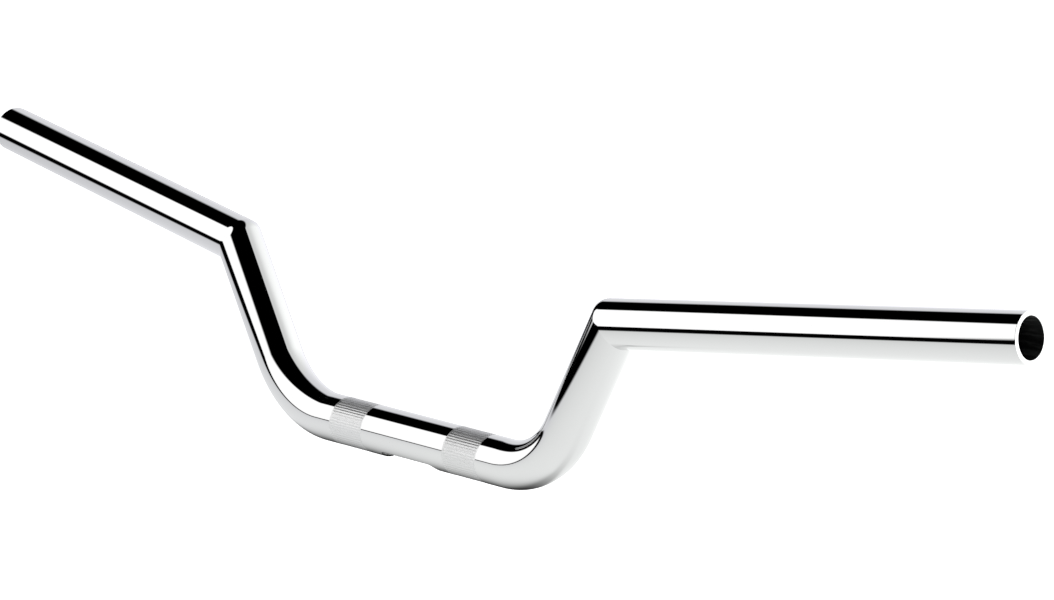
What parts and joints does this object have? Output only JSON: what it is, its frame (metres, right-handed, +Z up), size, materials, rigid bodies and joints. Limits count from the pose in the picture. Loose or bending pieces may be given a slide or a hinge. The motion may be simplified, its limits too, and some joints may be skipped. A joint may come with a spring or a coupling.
{
  "type": "motorcycle handlebar",
  "caption": "Chrome-plated tubular motorcycle handlebar with bent lower corners, mitred welded upper corners and knurled clamp bands.",
  "frame": {"origin": "on the tube's centreline, at the middle of the straight clamp section", "axes": "+X along the bar towards the rider's right hand, +Y back towards the rider, +Z up; the risers stand upright"},
  "size_m": [0.7792, 0.0528, 0.1371],
  "materials": {
    "chrome_plate": "polished, decorative chrome plating over steel"
  },
  "bodies": {
    "root": {"bent_bar_tube": "chrome_plate", "left_grip_tube": "chrome_plate", "right_grip_tube": "chrome_plate", "left_mitre_weld": "chrome_plate", "right_mitre_weld": "chrome_plate"}
  },
  "joints": []
}
